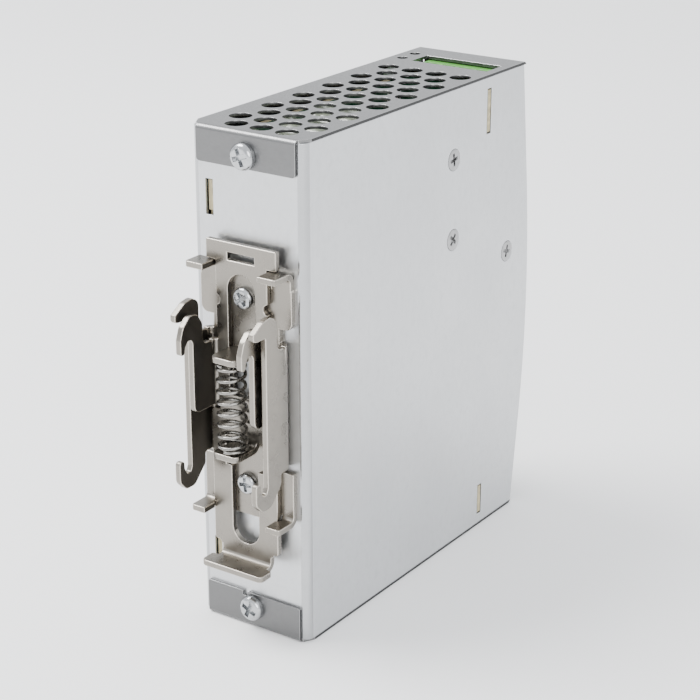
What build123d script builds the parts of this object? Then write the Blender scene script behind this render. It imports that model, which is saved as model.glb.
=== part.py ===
from build123d import *
import math
import os

# DIN rail power supply. The model is drawn in millimetres with the outer face of the
# case's rear wall at y = 0, the front towards +Y, the case's middle at x = 0 and its
# underside at z = 0. save() moves every piece to the frame of the part, whose origin is
# the middle of the underside of its whole box.

# ---- driving dimensions: case ----
WIDTH = 32.0
HEIGHT = 125.2
DEPTH = 102.0
SHELL_SHEET = 1.0
COVER_SHEET = 0.8
SHELL_BEND = 2.0
COVER_BEND = 1.2
CORNER_DEPTH = 96.8         # depth of the side walls at their top and bottom corners
COVER_TOP_DEPTH = 97.9      # depth of the cover at its top edge
SLANT_DEPTH = 100.3         # depth where the slanted ends meet the crowned middle
SLANT_LOW = 29.5
SLANT_HIGH = 92.5
GAP = 0.1                   # small clearance between neighbouring flat faces

HALF = WIDTH / 2
INNER = HALF - SHELL_SHEET
SHELL_LOW = COVER_SHEET
SHELL_HIGH = HEIGHT - COVER_SHEET
MIDDLE = (SLANT_LOW + SLANT_HIGH) / 2
FRONT_PANEL_HALF = INNER - GAP
FLANGE_HALF = 14.0
TOP_FLANGE = 8.7
BOTTOM_FLANGE = 9.2
FLANGE_SCREW_UP = 5.6       # flange screws, from the case's top or underside
VENT_RADIUS = 2.75
VENT_PITCH = 7.12
VENT_CENTRE = 1.0
VENT_FIRST = 4.4
VENT_ROWS = 12
SIDE_SCREWS = ((63.2, 106.7), (63.4, 85.9), (90.6, 75.7))       # (y, z) in the right wall
SIDE_SLOTS = ((109.9, 121.6), (3.4, 12.0))      # (low, high) of the slots in the right wall
SLOT_BACK = 78.6
SLOT_FRONT = 80.7
REAR_SLOTS = ((103.8, 112.4), (12.3, 21.4))     # (low, high) of the slots in the rear wall
REAR_SLOT_LEFT = -12.15
REAR_SLOT_RIGHT = -9.95
TRIMMER = (9.0, 102.6)      # (x, z) of the trimmer behind its hole in the front
LED = (-3.0, 102.6)         # (x, z) of the indicator behind its hole in the front

# ---- driving dimensions: rail clip ----
CLIP_SHEET = 1.5
CLIP_BEND = 2.5             # outer radius of the clip's bends
CLIP_MIDDLE = 62.8
CLIP_SCREW_SPACING = 46.8
HOOK_FACE = 12.0            # outer face of the bracket's hook plates, from the middle
HOOK_REACH = 14.3           # bracket's hook tips, out from the case
LATCH_REACH = 15.6          # latch's hook tips, out from the case
LATCH_HALF = 9.5
NECK_HALF = 7.4
HEAD_HALF = 10.0
SLOT_HALF = 3.9
SPRING_AXIS = -7.3
SPRING_RADIUS = 3.25
SPRING_WIRE = 0.9
SPRING_TURNS = 7.5
SHELF_HIGH = 74.0           # top face of the bracket's spring shelf
SHELF_LOW = 50.0            # top face of the latch's spring shelf
LIP_TOP = 19.8              # top face of the latch's release lip
TAB_HIGH = 94.4             # top face of the bracket's upper tabs
TAB_LOW = 32.6              # top face of the bracket's lower tabs
LATCH_BACK = -CLIP_SHEET - GAP
LATCH_FRONT = LATCH_BACK - CLIP_SHEET
CLIP_SCREWS = (CLIP_MIDDLE + CLIP_SCREW_SPACING / 2, CLIP_MIDDLE - CLIP_SCREW_SPACING / 2)
FLANGE_SCREWS = (HEIGHT - FLANGE_SCREW_UP, FLANGE_SCREW_UP)

# ---- driving dimensions: boards and terminals ----
BOARD = 1.6
MAIN_FACE = -10.3           # component side of the main board
MAIN_BACK = MAIN_FACE - BOARD
PLATE_BACK = 78.85          # rear face of the terminal boards
PLATE_FACE = PLATE_BACK + BOARD
POLE_PITCH = 5.08
POLE_WALL = 0.6
OUTPUT_POLES = 4
INPUT_POLES = 3
TERMINAL_LEFT = -8.4
OUTPUT_Z = 117.0            # height of the output terminals' screws
INPUT_Z = HEIGHT - OUTPUT_Z
TERMINAL_FRONT = 94.2

# ---- driving dimensions: what the boards carry ----
BOARD_STANDOFFS = ((4.6, 7.0), (4.6, 118.4), (74.0, 8.0), (74.0, 117.0))    # (y, z)
OUTPUT_LEAF = 58.0          # rear faces of the heat sinks' leaves
INPUT_LEAF = 84.0
OUTPUT_PACKAGE_Z = 96.5
INPUT_PACKAGE_Z = 56.5
PACKAGE_LEFT = MAIN_FACE + 5.0
PACKAGE_HOLE = PACKAGE_LEFT + 12.6
TRANSFORMER = (43.0, 62.0)  # (y, z) of the transformer's middle
BULK_Y = 15.4
BULK_RADIUS = 10.4

ORIGIN_Y = (DEPTH - LATCH_REACH) / 2
TO_ORIGIN = Pos(0, -ORIGIN_Y, 0)
OUTWARD = (0, -1, 0)        # away from the case's rear wall
FORWARD = (0, 1, 0)


# ---- small helpers ----
def span(x0, x1, y0, y1, z0, z1):
    """A block between two corners."""
    middle = ((x0 + x1) / 2, (y0 + y1) / 2, (z0 + z1) / 2)
    return Pos(*middle) * Box(x1 - x0, y1 - y0, z1 - z0)


def rod(base, direction, length, radius):
    """A round bar from its base along a direction."""
    return extrude(Plane(origin=base, z_dir=direction) * Circle(radius), length)


def ring(base, direction, length, radius, bore):
    """A round tube from its base along a direction."""
    return rod(base, direction, length, radius) - rod(base, direction, length, bore)


def outline(points):
    """A closed face through (a, b, corner radius) points."""
    corners = [(a, b) for a, b, r in points]
    radii = [r for a, b, r in points]
    return make_face(FilletPolyline(*corners, radius=radii, close=True))


def plate_yz(points, x0, x1):
    """A sheet across X, outlined in Y and Z."""
    return extrude(Plane.YZ.offset(x0) * outline(points), x1 - x0)


def plate_xz(points, y0, y1):
    """A sheet across Y, outlined in X and Z."""
    return extrude(Plane.XZ.offset(-y1) * outline(points), y1 - y0)


def plate_xy(points, z0, z1):
    """A level sheet, outlined in X and Y."""
    return extrude(Plane.XY.offset(z0) * outline(points), z1 - z0)


def both_sides(piece):
    """A piece and its mirror image across the case's middle."""
    return piece + mirror(piece, about=Plane.YZ)


def group(pieces):
    """Separate solids kept together in one node."""
    return Compound(children=[s for p in pieces for s in p.solids()])


def save(name, piece):
    export_step(TO_ORIGIN * piece, "parts/" + name + ".step")


def cross_recess(size, depth):
    """A cross-shaped driver recess, cut down from z = 0."""
    blade = Pos(0, 0, -depth / 2) * Box(size, size * 0.26, depth)
    return blade + Rot(0, 0, 90) * blade


def pan_screw(base, direction, turn, head=3.1, height=2.3, shank=1.45, length=6.0):
    """A pan-head screw whose head stands on its base point."""
    top = fillet(rod((0, 0, 0), (0, 0, 1), height, head).edges().group_by(Axis.Z)[-1], height * 0.6)
    screw = top + rod((0, 0, 0), (0, 0, -1), length, shank)
    screw -= Pos(0, 0, height) * Rot(0, 0, turn) * cross_recess(head * 1.3, height * 0.6)
    return Plane(origin=base, z_dir=direction) * screw


def flush_screw(base, direction, turn, head=2.75, shank=1.45, length=6.0):
    """A countersunk screw whose head is level with its base point."""
    cone = Pos(0, 0, -0.65) * Cone(shank, head, 1.3)
    screw = cone + rod((0, 0, -1.2), (0, 0, -1), length - 1.2, shank)
    screw -= Rot(0, 0, turn) * cross_recess(head * 1.2, 1.0)
    return Plane(origin=base, z_dir=direction) * screw


# ---- case ----
def case_profile(top_depth, low, high, inset=0.0):
    """The case seen from the side: slanted ends and a gently crowned middle."""
    back = -COVER_SHEET + inset
    bottom = (CORNER_DEPTH - inset, low)
    lower = (SLANT_DEPTH - inset, SLANT_LOW)
    upper = (SLANT_DEPTH - inset, SLANT_HIGH)
    top = (top_depth - inset, high)
    edge = Polyline((back, high), (back, low), bottom, lower)
    edge += ThreePointArc(lower, (DEPTH - inset, MIDDLE), upper)
    edge += Polyline(upper, top, (back, high))
    return make_face(edge)


def solid_profile(top_depth, low, high, inset=0.0):
    return extrude(Plane.YZ.offset(-HALF) * case_profile(top_depth, low, high, inset), WIDTH)


def case_shell():
    """Left wall, rear wall and right wall, bent from one sheet."""
    outer = span(-HALF, HALF, 0, DEPTH + 5, SHELL_LOW, SHELL_HIGH)
    outer = fillet(outer.edges().filter_by(Axis.Z).group_by(Axis.Y)[0], SHELL_BEND)
    inner = span(-INNER, INNER, SHELL_SHEET, DEPTH + 6, 0, HEIGHT)
    inner = fillet(inner.edges().filter_by(Axis.Z).group_by(Axis.Y)[0], SHELL_BEND - SHELL_SHEET)
    shell = (outer - inner) & solid_profile(CORNER_DEPTH, SHELL_LOW, SHELL_HIGH)
    for low, high in REAR_SLOTS:
        shell -= span(REAR_SLOT_LEFT, REAR_SLOT_RIGHT, -1, SHELL_SHEET + 1, low, high)
    for low, high in SIDE_SLOTS:
        shell -= span(INNER - 1, HALF + 1, SLOT_BACK, SLOT_FRONT, low, high)
    for z in CLIP_SCREWS + FLANGE_SCREWS:
        boss = rod((0, SHELL_SHEET, z), FORWARD, 1.2, 2.3)
        shell = shell + boss - rod((0, -1, z), FORWARD, 5, 1.5)
    for y, z in SIDE_SCREWS:
        shell -= Pos(HALF - 0.6, y, z) * Rot(0, 90, 0) * Cone(1.75, 2.9, 1.2)
        shell -= rod((INNER - 1, y, z), (1, 0, 0), 3, 1.75)
    return shell


def vent_centres():
    """Staggered rows of three and four holes, the first row nearest the rear."""
    for row in range(VENT_ROWS):
        count = 3 + row % 2
        for i in range(count):
            x = VENT_CENTRE + (i - (count - 1) / 2) * VENT_PITCH
            yield x, VENT_FIRST + row * VENT_PITCH * math.sin(math.radians(60))


def terminal_right(poles):
    return TERMINAL_LEFT + poles * POLE_PITCH + POLE_WALL


def cover_blank():
    """The cover's folded strip, before it is trimmed to width and cut."""
    skin = solid_profile(COVER_TOP_DEPTH, 0, HEIGHT)
    rear_edges = skin.edges().filter_by(Axis.X).group_by(Axis.Y)[0]
    skin = fillet(rear_edges, COVER_BEND)
    front_corners = skin.edges().filter_by(Axis.X)
    front_corners = [e for e in front_corners if e.center().Y > CORNER_DEPTH - 1
                     and (e.center().Z < 1 or e.center().Z > HEIGHT - 1)]
    skin = fillet(front_corners, COVER_BEND)
    hollow = solid_profile(COVER_TOP_DEPTH, COVER_SHEET, HEIGHT - COVER_SHEET, COVER_SHEET)
    return skin - hollow


def cover():
    """Top, front and bottom with two rear flanges, bent from one thinner sheet."""
    flange_top = HEIGHT - TOP_FLANGE
    width = WIDTH + 1
    keep = span(-width, width, 0, DEPTH + 1, -1, HEIGHT + 1)
    keep += plate_xz([(-FLANGE_HALF, flange_top, 0.9), (FLANGE_HALF, flange_top, 0.9),
                      (FLANGE_HALF, HEIGHT + 1, 0), (-FLANGE_HALF, HEIGHT + 1, 0)], -2, 1)
    keep += plate_xz([(-FLANGE_HALF, -1, 0), (FLANGE_HALF, -1, 0), (FLANGE_HALF, BOTTOM_FLANGE, 0.6),
                      (-FLANGE_HALF, BOTTOM_FLANGE, 0.6)], -2, 1)
    sheet = cover_blank() & keep
    sides = span(FRONT_PANEL_HALF, HALF + 1, SHELL_SHEET, DEPTH + 1, SHELL_LOW, SHELL_HIGH)
    corner = extrude(make_face(Polyline((FLANGE_HALF, -2), (HALF + 1, -2), (HALF + 1, 3.9),
                                        (HALF - 0.2, 2.4), (FLANGE_HALF, -0.8), (FLANGE_HALF, -2))),
                     HEIGHT + 1)
    sheet -= both_sides(sides + corner)
    sheet -= both_sides(span(INNER - 1, HALF + 1, -0.1, SHELL_SHEET + 1, SHELL_LOW, SHELL_HIGH))
    sheet -= span(-3.2, -1.6, -2, 0, BOTTOM_FLANGE - 1.2, BOTTOM_FLANGE + 1)
    for z in FLANGE_SCREWS:
        sheet -= rod((0, -2, z), FORWARD, 3, 1.7)
    vents = [rod((x, y, -1), (0, 0, 1), HEIGHT + 2, VENT_RADIUS) for x, y in vent_centres()]
    sheet -= Compound(children=vents)
    right = terminal_right(OUTPUT_POLES) + 1.2
    sheet -= span(-8.8, right, 81.6, 89.0, HEIGHT - 3, HEIGHT + 1)
    sheet -= span(-8.8, right - POLE_PITCH, 81.6, 89.0, -1, 3)
    for y in (83.2, 89.2):
        sheet -= rod((-12.6, y, HEIGHT - 3), (0, 0, 1), 4, 1.45)
    window = TERMINAL_LEFT - 0.3
    high = HEIGHT - 3.6
    sheet -= span(window, right - 0.9, 90, DEPTH + 2, OUTPUT_Z - 5.2, high)
    sheet -= span(window, right - 0.9 - POLE_PITCH, 90, DEPTH + 2, HEIGHT - high, INPUT_Z + 5.2)
    sheet -= rod((TRIMMER[0], 90, TRIMMER[1]), FORWARD, 15, 2.2)
    sheet -= rod((LED[0], 90, LED[1]), FORWARD, 15, 1.6)
    return sheet


# ---- rail clip ----
def bend(x, y, z0, z1):
    """A quarter bend from a flat sheet towards a plate that stands out on the +X side."""
    arc = ring((x, y, z0), (0, 0, 1), z1 - z0, CLIP_BEND, CLIP_BEND - CLIP_SHEET)
    return arc & span(x, x + CLIP_BEND, y, y + CLIP_BEND, z0, z1)


def bracket_hook():
    """Right-hand hook plate: a beak over the rail's top edge, a cup under its bottom edge."""
    root = -CLIP_BEND
    front = -9.8
    back = -5.6
    points = [(root, 46.0, 0), (root, 77.0, 1.2), (-5.0, 77.0, 1.2), (back, 78.6, 0.6), (back, 84.6, 2.2),
              (-8.0, 85.8, 1.6), (-10.6, 85.4, 2.4), (-HOOK_REACH, 83.2, 0.5), (-HOOK_REACH, 81.5, 0.9),
              (-12.9, 81.2, 0.6), (front, 81.2, 0.5), (front, 44.2, 0.6), (-10.4, 42.9, 0.5),
              (-11.6, 42.9, 0.6), (-12.4, 44.4, 0.5), (-12.6, 46.4, 0.7), (-HOOK_REACH, 46.4, 0.9),
              (-HOOK_REACH, 41.2, 2.2), (-12.0, 38.9, 1.8), (-8.8, 38.9, 2.2), (-4.6, 43.2, 1.6),
              (-4.6, 46.0, 0.6)]
    plate = plate_yz(points, HOOK_FACE - CLIP_SHEET, HOOK_FACE)
    return plate + bend(HOOK_FACE - CLIP_BEND, -CLIP_BEND, 46.0, 77.0)


def out_tab(x0, x1, top, reach, web_above=False):
    """A level tab bent out from the bracket's web, which stands below or above it."""
    flat = span(x0, x1, -reach, -CLIP_BEND, top - CLIP_SHEET, top)
    flat = fillet(flat.edges().filter_by(Axis.Z).group_by(Axis.Y)[0].sort_by(Axis.X)[-1], 0.8)
    centre = top - CLIP_SHEET + CLIP_BEND if web_above else top - CLIP_BEND
    corner = ring((x0, -CLIP_BEND, centre), (1, 0, 0), x1 - x0, CLIP_BEND, CLIP_BEND - CLIP_SHEET)
    low, high = (top - CLIP_SHEET, centre) if web_above else (centre, top)
    return flat + (corner & span(x0, x1, -CLIP_BEND, 0, low, high))


def shelf(root, top, reach, down):
    """A spring shelf bent out of a sheet whose front face is at root; down is +1 where it hangs."""
    inner = CLIP_BEND - CLIP_SHEET
    start = root - inner
    flat = plate_xy([(-SLOT_HALF + 0.2, start, 0), (SLOT_HALF - 0.2, start, 0),
                     (SLOT_HALF - 0.2, -reach, 1.8), (-SLOT_HALF + 0.2, -reach, 1.8)],
                    top - CLIP_SHEET, top)
    centre = top - CLIP_SHEET - inner if down > 0 else top + inner
    corner = ring((-SLOT_HALF + 0.2, start, centre), (1, 0, 0), 2 * SLOT_HALF - 0.4, CLIP_BEND, inner)
    low, high = sorted((centre, centre + down * CLIP_BEND))
    return flat + (corner & span(-SLOT_HALF, SLOT_HALF, start, start + CLIP_BEND, low, high))


def clip_bracket():
    """Fixed half of the rail clip, screwed to the case's rear wall."""
    wing = 13.1
    waist = HOOK_FACE - CLIP_BEND
    tab_root = TAB_LOW - CLIP_SHEET + CLIP_BEND
    left = [(-wing, 92.0, 0), (-wing, 80.4, 2), (-waist, 80.4, 0), (-waist, 44.7, 0), (-wing, 44.7, 0.5),
            (-wing, tab_root, 0), (-9.8, tab_root, 0), (-8.4, 32.0, 0), (-7.0, 32.0, 0), (-5.8, 30.9, 1)]
    right = [(-x, z, r) for x, z, r in reversed(left)]
    web = plate_xz(left + right, -CLIP_SHEET, 0)
    web -= both_sides(span(7.6, wing + 1, -2, 1, 90.0, 93.0))
    web += both_sides(span(7.8, 12.9, -CLIP_SHEET, 0, 89.9, TAB_HIGH - CLIP_BEND))
    web += both_sides(out_tab(7.8, 12.9, TAB_HIGH, 7.4))
    web += both_sides(out_tab(9.8, wing, TAB_LOW, 7.5, web_above=True))
    web += both_sides(span(9.1, 10.2, -7.5, LATCH_FRONT - 0.25, TAB_LOW - CLIP_SHEET, TAB_LOW))
    web -= span(-SLOT_HALF, SLOT_HALF, -2, 1, 62.0, SHELF_HIGH - CLIP_BEND)
    web += shelf(-CLIP_SHEET, SHELF_HIGH, 10.9, +1)
    web += both_sides(bracket_hook())
    for z in CLIP_SCREWS:
        web -= rod((0, -3, z), FORWARD, 4, 1.6)
    return web


def latch_hook():
    """Right-hand wing of the latch: a long beak that grips the rail's top edge."""
    root = LATCH_BACK - CLIP_BEND
    front = -11.2
    back = -7.5
    points = [(root, 58.5, 0), (root, 75.0, 1.0), (-6.9, 75.0, 1.0), (back, 76.4, 0.5), (back, 80.2, 2.0),
              (-9.2, 82.8, 2.0), (-12.0, 83.2, 2.0), (-14.6, 80.8, 2.4), (-LATCH_REACH, 78.0, 2.0),
              (-LATCH_REACH, 74.3, 0.7), (-14.2, 74.3, 0.7), (-13.9, 76.0, 0.8), (-12.9, 77.2, 0.7),
              (-11.8, 77.2, 0.5), (front, 76.2, 0.5), (front, 58.5, 2.0)]
    plate = plate_yz(points, LATCH_HALF - CLIP_SHEET, LATCH_HALF)
    return plate + bend(LATCH_HALF - CLIP_BEND, root, 58.5, 75.0)


def release_lip():
    """The lip at the latch's foot that a screwdriver or a finger pushes up."""
    top = LIP_TOP
    inner = CLIP_BEND - CLIP_SHEET
    start = LATCH_FRONT - inner
    flat = plate_xy([(-7.3, start, 0), (7.3, start, 0), (7.3, start - 0.8, 0.3), (9.0, start - 0.8, 0.8),
                     (9.0, -9.4, 1.3), (-9.0, -9.4, 1.3), (-9.0, start - 0.8, 0.8),
                     (-7.3, start - 0.8, 0.3)], top - CLIP_SHEET, top)
    corner = ring((-7.3, start, top + inner), (1, 0, 0), 14.6, CLIP_BEND, inner)
    return flat + (corner & span(-7.3, 7.3, start, start + CLIP_BEND, top - CLIP_SHEET, top + inner))


def latch_slide():
    """Sliding half of the rail clip."""
    bend_start = LATCH_HALF - CLIP_BEND
    foot = LIP_TOP + CLIP_BEND - CLIP_SHEET
    left = [(-NECK_HALF, 94.6, 0), (-NECK_HALF, 76.4, 0), (-bend_start, 76.4, 0), (-bend_start, 57.5, 0),
            (-LATCH_HALF, 57.5, 1), (-LATCH_HALF, 22.9, 0.8), (-8.2, 22.9, 0), (-7.3, 22.0, 0)]
    right = [(-x, z, r) for x, z, r in reversed(left)]
    head = [(HEAD_HALF, 94.6, 0), (HEAD_HALF, 99.3, 0.3), (-HEAD_HALF, 99.3, 0.3), (-HEAD_HALF, 94.6, 0)]
    foot_edge = [(-7.3, foot, 0), (7.3, foot, 0)]
    plate = plate_xz(left + foot_edge + right + head, LATCH_FRONT, LATCH_BACK)
    y0 = LATCH_FRONT - 1
    y1 = LATCH_BACK + 1
    plate -= span(-SLOT_HALF, SLOT_HALF, y0, y1, 95.0, 96.9)
    plate -= span(-SLOT_HALF, SLOT_HALF, y0, y1, 61.8, 92.0 - SLOT_HALF)
    plate -= rod((0, y0, 92.0 - SLOT_HALF), FORWARD, y1 - y0, SLOT_HALF)
    plate -= span(-5.5, 5.5, y0, y1, 43.6, SHELF_LOW + CLIP_BEND - CLIP_SHEET)
    plate -= span(-SLOT_HALF, SLOT_HALF, y0, y1, 23.9 + SLOT_HALF, 44.0)
    plate -= rod((0, y0, 23.9 + SLOT_HALF), FORWARD, y1 - y0, SLOT_HALF)
    for side in (-1, 1):
        plate -= rod((side * (NECK_HALF + 0.2), y0, 84.9), FORWARD, y1 - y0, 1.3)
    plate += shelf(LATCH_FRONT, SHELF_LOW, 11.0, -1)
    dome = rod((0, SPRING_AXIS, SHELF_LOW - 0.1), (0, 0, 1), 1.5, 2.2)
    plate += fillet(dome.edges().group_by(Axis.Z)[-1], 1.0)
    plate += release_lip()
    return plate + both_sides(latch_hook())


def latch_spring():
    """Compression spring between the two shelves."""
    low = SHELF_LOW + SPRING_WIRE / 2 + GAP
    high = SHELF_HIGH - CLIP_SHEET - SPRING_WIRE / 2 - GAP
    length = high - low
    path = Helix(length / SPRING_TURNS, length, SPRING_RADIUS)
    start = Plane(origin=path @ 0, z_dir=path % 0)
    wire = sweep(start * Circle(SPRING_WIRE / 2), path=path, is_frenet=True)
    return Pos(0, SPRING_AXIS, low) * wire


# ---- boards ----
def main_board():
    """Main circuit board beside the left wall, with two tabs in the rear wall's slots."""
    board = span(MAIN_BACK, MAIN_FACE, 1.6, 78.4, 4.0, 121.2)
    for low, high in REAR_SLOTS:
        board += span(MAIN_BACK, MAIN_FACE, SHELL_SHEET - GAP, 2.0, low + 0.9, high - 0.4)
    for y, z in BOARD_STANDOFFS:
        board -= rod((MAIN_BACK - 1, y, z), (1, 0, 0), 4, 1.3)
    return board


def board_standoffs():
    """Nylon spacers with a snap head that hold the board off the left wall."""
    pieces = []
    for y, z in BOARD_STANDOFFS:
        post = rod((-INNER, y, z), (1, 0, 0), MAIN_BACK + INNER, 2.6)
        neck = rod((MAIN_BACK - 0.5, y, z), (1, 0, 0), BOARD + 0.9, 1.2)
        barb = Pos(MAIN_FACE + 1.1, y, z) * Rot(0, 90, 0) * Cone(1.9, 0.7, 1.6)
        pieces.append(post + neck + barb)
    return group(pieces)


def terminal_board(low, high, tab):
    """Small board parallel to the front that carries a terminal block."""
    board = span(MAIN_FACE + GAP, INNER - GAP, PLATE_BACK, PLATE_FACE, low, high)
    return board + span(INNER - 1, HALF - 0.15, PLATE_BACK, PLATE_FACE, tab[0] + 0.4, tab[1] - 0.4)


def link_pins():
    """Bent pins that join the terminal boards to the main board."""
    pieces = []
    for z in (98.5, 101.0, 103.5, 106.0, 19.0, 21.5, 24.0):
        foot = span(MAIN_FACE + 0.05, MAIN_FACE + 1.6, 75.6, 76.3, z - 0.35, z + 0.35)
        arm = span(MAIN_FACE + 0.9, MAIN_FACE + 1.6, 75.6, PLATE_BACK - 0.05, z - 0.35, z + 0.35)
        pieces.append(foot + arm)
    return group(pieces)


def insulating_sheet():
    """Plastic film between the board's solder side and the left wall, turned over at two edges."""
    left = -INNER + 0.2
    low = SHELL_LOW + 1.0
    high = SHELL_HIGH - 0.8
    film = span(left, left + 0.4, 4.0, 77.0, low, high)
    film += span(left, left + 1.8, 4.0, 77.0, high, high + 0.4)
    film += span(left, left + 1.8, 4.0, 77.0, low - 0.4, low)
    for y, z in BOARD_STANDOFFS:
        film -= rod((-INNER, y, z), (1, 0, 0), 3, 2.9)
    return film


# ---- terminals ----
def pole_centres(poles):
    return [TERMINAL_LEFT + POLE_WALL / 2 + (i + 0.5) * POLE_PITCH for i in range(poles)]


def terminal_housing(poles, z, mouth):
    """Moulded block: one chamber a pole, a wire mouth above or below and a screw well in front."""
    low, high = sorted((z - mouth * 4.6, z + mouth * 7.0))
    back = PLATE_FACE + 0.05
    block = span(TERMINAL_LEFT, terminal_right(poles), back, TERMINAL_FRONT, low, high)
    upright = block.edges().filter_by(Axis.Z).group_by(Axis.Y)[-1]
    block = fillet(upright, 0.5)
    for x in pole_centres(poles):
        block -= span(x - 1.9, x + 1.9, 81.6, 91.3, z - 2.7, z + 2.7)
        near, far = sorted((z, z + mouth * 8))
        block -= span(x - 1.9, x + 1.9, 82.2, 86.6, near, far)
        funnel = Plane.XY.offset(z + mouth * 5.0) * Pos(x, 84.7) * Rectangle(3.8, 4.4)
        funnel += Plane.XY.offset(z + mouth * 7.05) * Pos(x, 84.6) * Rectangle(4.0, 5.0)
        block -= loft(funnel)
        block -= rod((x, 91, z), FORWARD, 4, 2.0)
        near, far = sorted((z, z - mouth * 3.9))
        block -= span(x - 1.2, x + 1.2, back - 1, 86.6, near, far)
    return block


def terminal_clamp(x, z):
    """Rising cage: its bar pulls the wire up to the fixed contact as the screw turns."""
    frame = span(x - 1.8, x + 1.8, 81.8, 88.7, z - 2.3, z + 2.3)
    frame -= span(x - 1.3, x + 1.3, 82.7, 86.6, z - 3, z + 3)
    return frame - rod((x, 86, z), FORWARD, 4, 1.15)


def terminal_screw(x, z, turn):
    """Captive slotted screw, its end resting on the contact."""
    head = rod((x, 91.5, z), FORWARD, 2.0, 1.85)
    head = fillet(head.edges().group_by(Axis.Y)[-1], 0.25)
    screw = head + rod((x, 86.5, z), FORWARD, 5.2, 1.05)
    slot = Box(4, 0.9 * 2, 0.55)
    slot += Box(0.55, 0.9 * 2, 2.2)
    return screw - Pos(x, 93.5, z) * Rot(0, turn, 0) * slot


def terminal_contacts(poles, z, mouth):
    """Fixed contact bars, each with the pin that carries its current back to the board."""
    pieces = []
    for x in pole_centres(poles):
        low, high = sorted((z + mouth * 2.6, z - mouth * 3.75))
        bar = span(x - 1.05, x + 1.05, 85.7, 86.4, low, high)
        low, high = sorted((z - mouth * 3.05, z - mouth * 3.75))
        pieces.append(bar + span(x - 0.6, x + 0.6, PLATE_FACE + 0.03, 86.0, low, high))
    return group(pieces)


# ---- heat sinks and power semiconductors ----
def angle_sink(screws, z0, z1, face_y, foot, package_z):
    """Aluminium angle: a foot against the right wall and a leaf across the case."""
    right = INNER - 0.05
    y0, y1 = foot
    sink = span(right - 3.0, right, y0, y1, z0, z1)
    sink += span(MAIN_FACE + 3.0, right, face_y, face_y + 2.0, z0, z1)
    for sy, sz in screws:
        sink -= rod((right + 1, sy, sz), (-1, 0, 0), 5, 1.5)
        sink -= rod((right + 1, sy, sz), (-1, 0, 0), 1.5, 1.9)
    return sink - rod((PACKAGE_HOLE, face_y - 1, package_z), FORWARD, 4, 1.45)


def power_package(y, z):
    """Flat three-legged package whose back, at y, lies against a leaf's pad."""
    x0 = PACKAGE_LEFT
    package = span(x0, x0 + 9.2, y - 3.2, y, z - 5.1, z + 5.1)
    package = chamfer(package.edges().filter_by(Axis.X), 0.3)
    package += span(x0 + 9.1, x0 + 15.4, y - 1.3, y, z - 5.1, z + 5.1)
    package -= rod((PACKAGE_HOLE, y - 5, z), FORWARD, 10, 1.9)
    leg_y = y - 2.3
    for dz in (-2.54, 0, 2.54):
        package += span(MAIN_FACE + 0.05, x0 + 0.1, leg_y - 0.3, leg_y + 0.3, z + dz - 0.45, z + dz + 0.45)
    return package


def package_pads():
    """Grey heat-conducting pads behind the two flat packages."""
    x0 = MAIN_FACE + 4.4
    pads = []
    for leaf, z in ((OUTPUT_LEAF, OUTPUT_PACKAGE_Z), (INPUT_LEAF, INPUT_PACKAGE_Z)):
        pad = span(x0, x0 + 16.8, leaf - 0.45, leaf - 0.05, z - 6.5, z + 6.5)
        pads.append(pad - rod((PACKAGE_HOLE, leaf - 2, z), FORWARD, 4, 1.6))
    return group(pads)


def package_screws():
    """Screws that hold the flat packages to their leaves."""
    spots = ((OUTPUT_LEAF, OUTPUT_PACKAGE_Z, 20), (INPUT_LEAF, INPUT_PACKAGE_Z, 65))
    return group([pan_screw((PACKAGE_HOLE, leaf - 1.85, z), OUTWARD, turn, 2.6, 1.6, 1.4, 3.7)
                  for leaf, z, turn in spots])


# ---- windings, capacitors and small parts on the main board ----
def upright(x_top, y, z, radius):
    """A can standing on the main board, its axis across the case."""
    can = rod((MAIN_FACE + 0.05, y, z), (1, 0, 0), x_top - MAIN_FACE, radius)
    can = fillet(can.edges(), 0.8)
    groove = ring((MAIN_FACE + 2.6, y, z), (1, 0, 0), 0.8, radius + 1, radius - 0.5)
    return can - groove


def bulk_capacitor():
    """Mains-side storage capacitor lying along Z."""
    x = MAIN_FACE + BULK_RADIUS + 0.5
    can = rod((x, BULK_Y, 30.0), (0, 0, 1), 33.0, BULK_RADIUS)
    can = fillet(can.edges(), 1.0)
    return can - ring((x, BULK_Y, 33.0), (0, 0, 1), 1.0, BULK_RADIUS + 2, BULK_RADIUS - 0.7)


def output_capacitors():
    return group([upright(13.6, 13.4 + 14.2 * i, 115.0, 6.3) for i in range(3)])


def transformer_core():
    """Two E-shaped ferrite halves round the coil former."""
    y, z = TRANSFORMER
    x0 = MAIN_FACE + 3.0
    core = span(x0, x0 + 20.0, y - 7.5, y + 7.5, z - 17.0, z + 17.0)
    for side in (-1, 1):
        low, high = sorted((z + side * 5.0, z + side * 12.0))
        core -= span(x0 + 4.0, x0 + 16.0, y - 8, y + 8, low, high)
    core -= span(x0 + 4.0, x0 + 16.0, y - 8, y + 8, z - 5.1, z + 5.1)
    core += span(x0 + 3.9, x0 + 16.1, y - 5.0, y + 5.0, z - 4.0, z + 4.0)
    return core


def transformer_winding():
    """Taped winding on its former, with the former's pin rail on the board."""
    y, z = TRANSFORMER
    x0 = MAIN_FACE + 3.0
    coil = span(x0 + 4.2, x0 + 15.8, y - 13.0, y + 13.0, z - 11.8, z + 11.8)
    coil = fillet(coil.edges().filter_by(Axis.X), 3.0)
    coil -= span(x0 + 3.5, x0 + 16.5, y - 5.2, y + 5.2, z - 4.2, z + 4.2)
    rail = span(MAIN_FACE + 0.05, x0 - 0.1, y - 12.5, y + 12.5, z - 14.0, z + 14.0)
    posts = [span(x0 - 0.2, x0 + 4.3, y + s * 10.2 - 2.2, y + s * 10.2 + 2.2, z - 8, z + 8)
             for s in (-1, 1)]
    return coil + rail + posts[0] + posts[1]


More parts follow.
